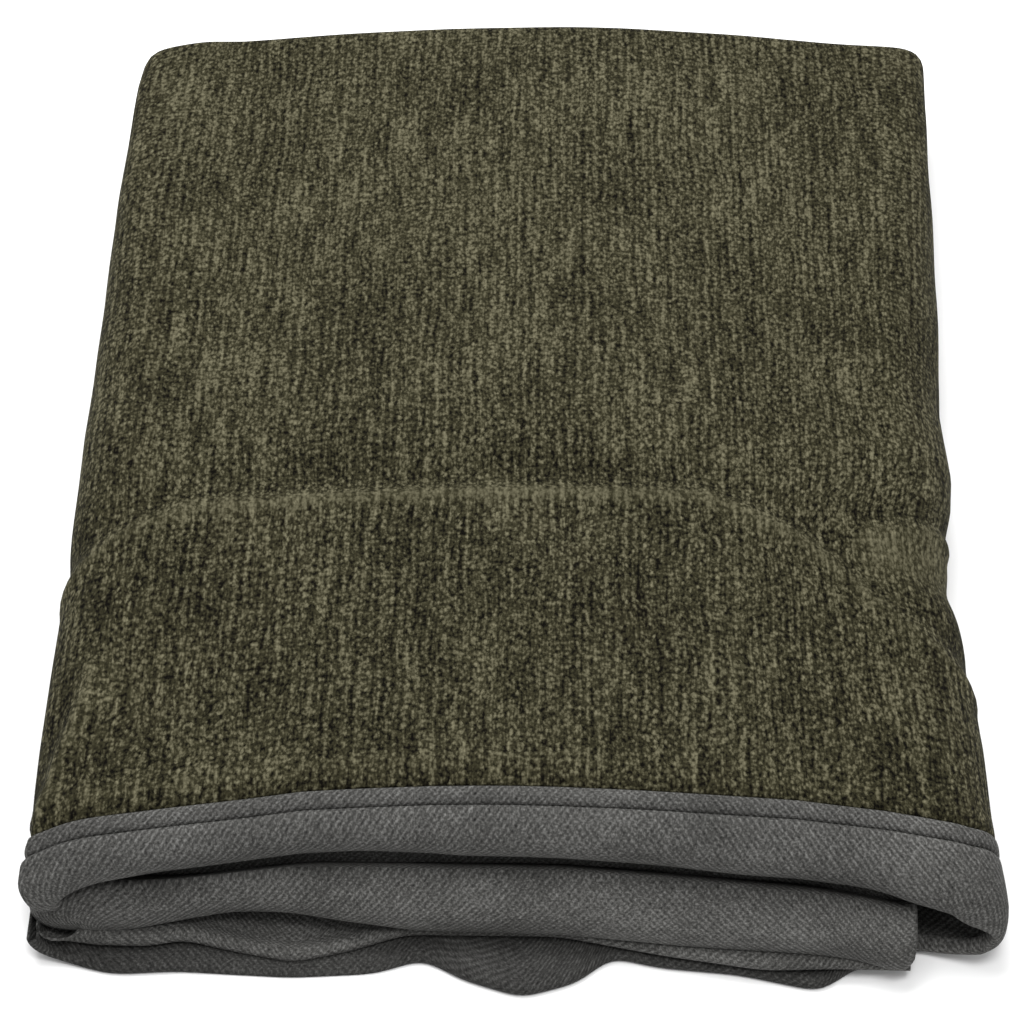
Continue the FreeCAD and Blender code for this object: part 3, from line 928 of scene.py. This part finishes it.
class BLANKET_OT_bottom_leaf(bpy.types.Operator):
    """Make the bottom leaf that lies on the ground, with its hems"""
    bl_idname = "blanket.bottom_leaf"
    bl_label = "Bottom leaf"

    def execute(self, context):
        sizes = context.scene.blanket_sizes
        hem_y = BOTTOM_OUTER_Y + HEM_WIDTH
        fronts = ((hem_y + 0.0026, BOTTOM_INNER_Y + 0.048), (hem_y - 0.001, BOTTOM_INNER_Y + 0.038))
        make_plain_leaf("bottom", place_bottom, BOTTOM_LINE, sizes, fronts, BACK_Y - 0.002,
                        (0.010, 0.010, 0.008))
        u = even_steps(0, BOTTOM_LINE.length, 0.0035)
        front = ([-0.25, -0.222, -0.207, -0.173, -0.115, -0.072, -0.048, -0.028, 0.003, 0.033, 0.048,
                  0.074, 0.114, 0.155, 0.179, 0.205],
                 [-0.309, -0.3125, -0.3185, -0.316, -0.3185, -0.3155, -0.307, -0.319, -0.329, -0.3195,
                  -0.3045, -0.3105, -0.314, -0.323, -0.3095, -0.306])
        high = ([-0.25, -0.22, -0.19, -0.15, -0.08, -0.04],
                [0.0034, 0.0060, 0.0085, 0.0034, 0.0034, 0.0085])
        grid, outer = flat_hem_rows(u, hem_y, front, even(0.0), high)
        # the hem on the ground is darkened to half: painted shade under the folds above it
        make_cloth("bottom_hem_band", place_bottom, grid, (outer, offset_section(outer, 0.0012)),
                   lining_finish("painted_shade_hem_cloth", 0.5), PILE, ["bottom_hem_outer"])
        front = ([-0.25, -0.230, -0.208, -0.187, -0.173, -0.144, -0.115, -0.087, -0.058, 0.022,
                  0.075, 0.127, 0.166, 0.205],
                 [-0.3085, -0.304, -0.306, -0.306, -0.301, -0.306, -0.3115, -0.305, -0.2965, -0.2975,
                  -0.308, -0.316, -0.3145, -0.315])
        high = ([-0.25, -0.23, -0.20, -0.175, -0.145, -0.115, -0.085, -0.058, 0.02],
                [0.0265, 0.0235, 0.0215, 0.0185, 0.0120, 0.0110, 0.0120, 0.0180, 0.0205])
        low = ([-0.25, -0.23, -0.20, -0.175, -0.145, -0.115, -0.085, -0.058, 0.02],
               [0.0036, 0.0070, 0.0120, 0.0100, 0.0038, 0.0035, 0.0038, 0.0100, 0.0130])
        dip = ([-0.185, -0.15, -0.09, -0.06], [0.0, 0.0068, 0.0055, 0.0])
        grid, outer = flat_hem_rows(u, BOTTOM_INNER_Y + 0.047, front, low, high, dip)
        make_cloth("bottom_upper_hem", place_bottom, grid, (outer, offset_section(outer, 0.0011)),
                   lining_finish("hem_cloth"), PILE, ["bottom_hem_inner"])
        return {"FINISHED"}


def stitch_row(name, place, line, y, d, body, node, sizes):
    """A row of short rounded stitches lying along the cloth, each dipping in at its ends."""
    pitch, thick = sizes.stitch_pitch, sizes.thread
    starts = np.arange(pitch / 2, line.length - pitch, pitch)
    stations = np.array([0.0, 0.12, 0.3, 0.5, 0.7, 0.88, 1.0])
    swell = np.array([0.35, 0.8, 1.0, 1.05, 1.0, 0.8, 0.35])
    dip = np.array([0.0011, 0.0004, 0.0, -0.0002, 0.0, 0.0004, 0.0011])
    ring = np.radians(np.arange(0, 360, 45))
    vertices, faces, weave = [], [], []
    for first in starts:
        base = len(vertices)
        u = first + stations * pitch * 0.78
        for uu, size, sink in zip(u, swell, dip):
            radius = thick / 2 * size
            yy = y + radius * np.cos(ring)
            dd = d + sink - radius * np.sin(ring)
            x, yyy, z = place(np.full(len(ring), uu), yy, dd, sizes.crease)
            vertices.extend(np.column_stack([x, yyy, z]).tolist())
            weave.extend([(uu, y + 0.001 * a) for a in ring])
        for k in range(len(stations) - 1):
            for j in range(8):
                a = base + 8 * k + j
                b = base + 8 * k + (j + 1) % 8
                faces.append((a, a + 8, b + 8, b))
        faces.append(tuple(base + j for j in range(8)))
        last = base + 8 * (len(stations) - 1)
        faces.append(tuple(last + j for j in range(7, -1, -1)))
    mesh = bpy.data.meshes.new(name)
    mesh.from_pydata(vertices, [], faces)
    add_weave_map(mesh, np.array(weave))
    make_object(name, mesh, thread_finish(), body, [node])


class BLANKET_OT_stitching(bpy.types.Operator):
    """Make the stitches along each leaf's hem"""
    bl_idname = "blanket.stitching"
    bl_label = "Stitching"

    def execute(self, context):
        sizes = context.scene.blanket_sizes
        stitch_row("cover_hem_stitching", place_cover, COVER_LINE, GROOVE_Y - 0.0009, 0.0016, "roll",
                   "cover_stitches", sizes)
        stitch_row("turned_hem_stitching", place_turned, TURNED_LINE, TURNED_NOSE_Y + 0.0453, 0.001,
                   PILE, "turned_stitches", sizes)
        stitch_row("bottom_hem_stitching", place_bottom, BOTTOM_LINE, BOTTOM_OUTER_Y + 0.0453, 0.001,
                   PILE, "bottom_stitches", sizes)
        return {"FINISHED"}


def area_light(name, place, target, size, power, colour=(1.0, 1.0, 1.0)):
    data = bpy.data.lights.new(name, "AREA")
    data.shape = "RECTANGLE"
    data.size, data.size_y = size
    data.energy = power
    data.color = colour
    made = bpy.data.objects.new(name, data)
    made.location = place
    made.rotation_euler = (Vector(target) - Vector(place)).to_track_quat("-Z", "Y").to_euler()
    bpy.context.scene.collection.objects.link(made)
    return made


class BLANKET_OT_stage(bpy.types.Operator):
    """Make the pale floor, the soft lights and the camera"""
    bl_idname = "blanket.stage"
    bl_label = "Stage"

    def execute(self, context):
        mesh = bpy.data.meshes.new("floor")
        reach = 6.0
        mesh.from_pydata([(-reach, -reach, 0), (reach, -reach, 0), (reach, reach, 0), (-reach, reach, 0)],
                         [], [(0, 1, 2, 3)])
        floor = bpy.data.objects.new("floor", mesh)
        context.scene.collection.objects.link(floor)
        s = NodeSheet("floor_white")
        place = s.node("ShaderNodeTexCoord").outputs["Object"]
        grain = s.noise(place, 3.0, 2.0)
        s.put(s.shader.inputs["Base Color"],
              s.ramp(grain, [(0.3, (0.88, 0.88, 0.88)), (0.7, (0.92, 0.92, 0.92))]))
        s.shader.inputs["Roughness"].default_value = 0.9
        mesh.materials.append(s.material)
        world = bpy.data.worlds.new("soft_room")
        context.scene.world = world
        world.use_nodes = True
        world.node_tree.nodes["Background"].inputs["Color"].default_value = (1, 1, 1, 1)
        world.node_tree.nodes["Background"].inputs["Strength"].default_value = 0.6
        area_light("top_soft", (-0.25, 0.45, 1.6), (0, 0.0, 0), (1.2, 1.0), 30)
        area_light("front_soft", (0.3, -0.75, 2.2), (0, -0.2, 0.03), (0.9, 0.7), 26)
        data = bpy.data.cameras.new("camera")
        camera = bpy.data.objects.new("camera", data)
        context.scene.collection.objects.link(camera)
        azimuth, elevation, distance = math.radians(-0.89), math.radians(50.0), 1.693
        target = Vector((-0.007, -0.0303, 0.03))
        forward = Vector((math.sin(azimuth) * math.cos(elevation),
                          math.cos(azimuth) * math.cos(elevation), -math.sin(elevation)))
        camera.location = target - distance * forward
        camera.rotation_euler = forward.to_track_quat("-Z", "Y").to_euler()
        data.lens = 104.8
        data.sensor_width = 36.0
        context.scene.camera = camera
        context.scene.view_settings.view_transform = "Standard"
        return {"FINISHED"}


OPERATORS = (BLANKET_OT_stage, BLANKET_OT_bottom_leaf, BLANKET_OT_turned_leaf,
             BLANKET_OT_cover_hem, BLANKET_OT_cover_leaf, BLANKET_OT_stitching)


class BLANKET_PT_panel(bpy.types.Panel):
    """The blanket's pieces, sizes and colours"""
    bl_idname = "BLANKET_PT_panel"
    bl_label = "Camp blanket"
    bl_space_type = "VIEW_3D"
    bl_region_type = "UI"
    bl_category = "Blanket"

    def draw(self, context):
        layout = self.layout
        for operator in OPERATORS:
            layout.operator(operator.bl_idname)
        for group in (context.scene.blanket_sizes, context.scene.blanket_colours):
            box = layout.box()
            for key in group.__annotations__:
                box.prop(group, key)


CLASSES = (BlanketSizes, BlanketColours) + OPERATORS + (BLANKET_PT_panel,)


def register():
    for made in CLASSES:
        bpy.utils.register_class(made)
    bpy.types.Scene.blanket_sizes = bpy.props.PointerProperty(type=BlanketSizes)
    bpy.types.Scene.blanket_colours = bpy.props.PointerProperty(type=BlanketColours)


def unregister():
    del bpy.types.Scene.blanket_sizes
    del bpy.types.Scene.blanket_colours
    for made in reversed(CLASSES):
        bpy.utils.unregister_class(made)


def main():
    register()
    bpy.ops.blanket.stage()
    bpy.ops.blanket.bottom_leaf()
    bpy.ops.blanket.turned_leaf()
    bpy.ops.blanket.cover_hem()
    bpy.ops.blanket.cover_leaf()
    bpy.ops.blanket.stitching()


if __name__ == "__main__":
    main()
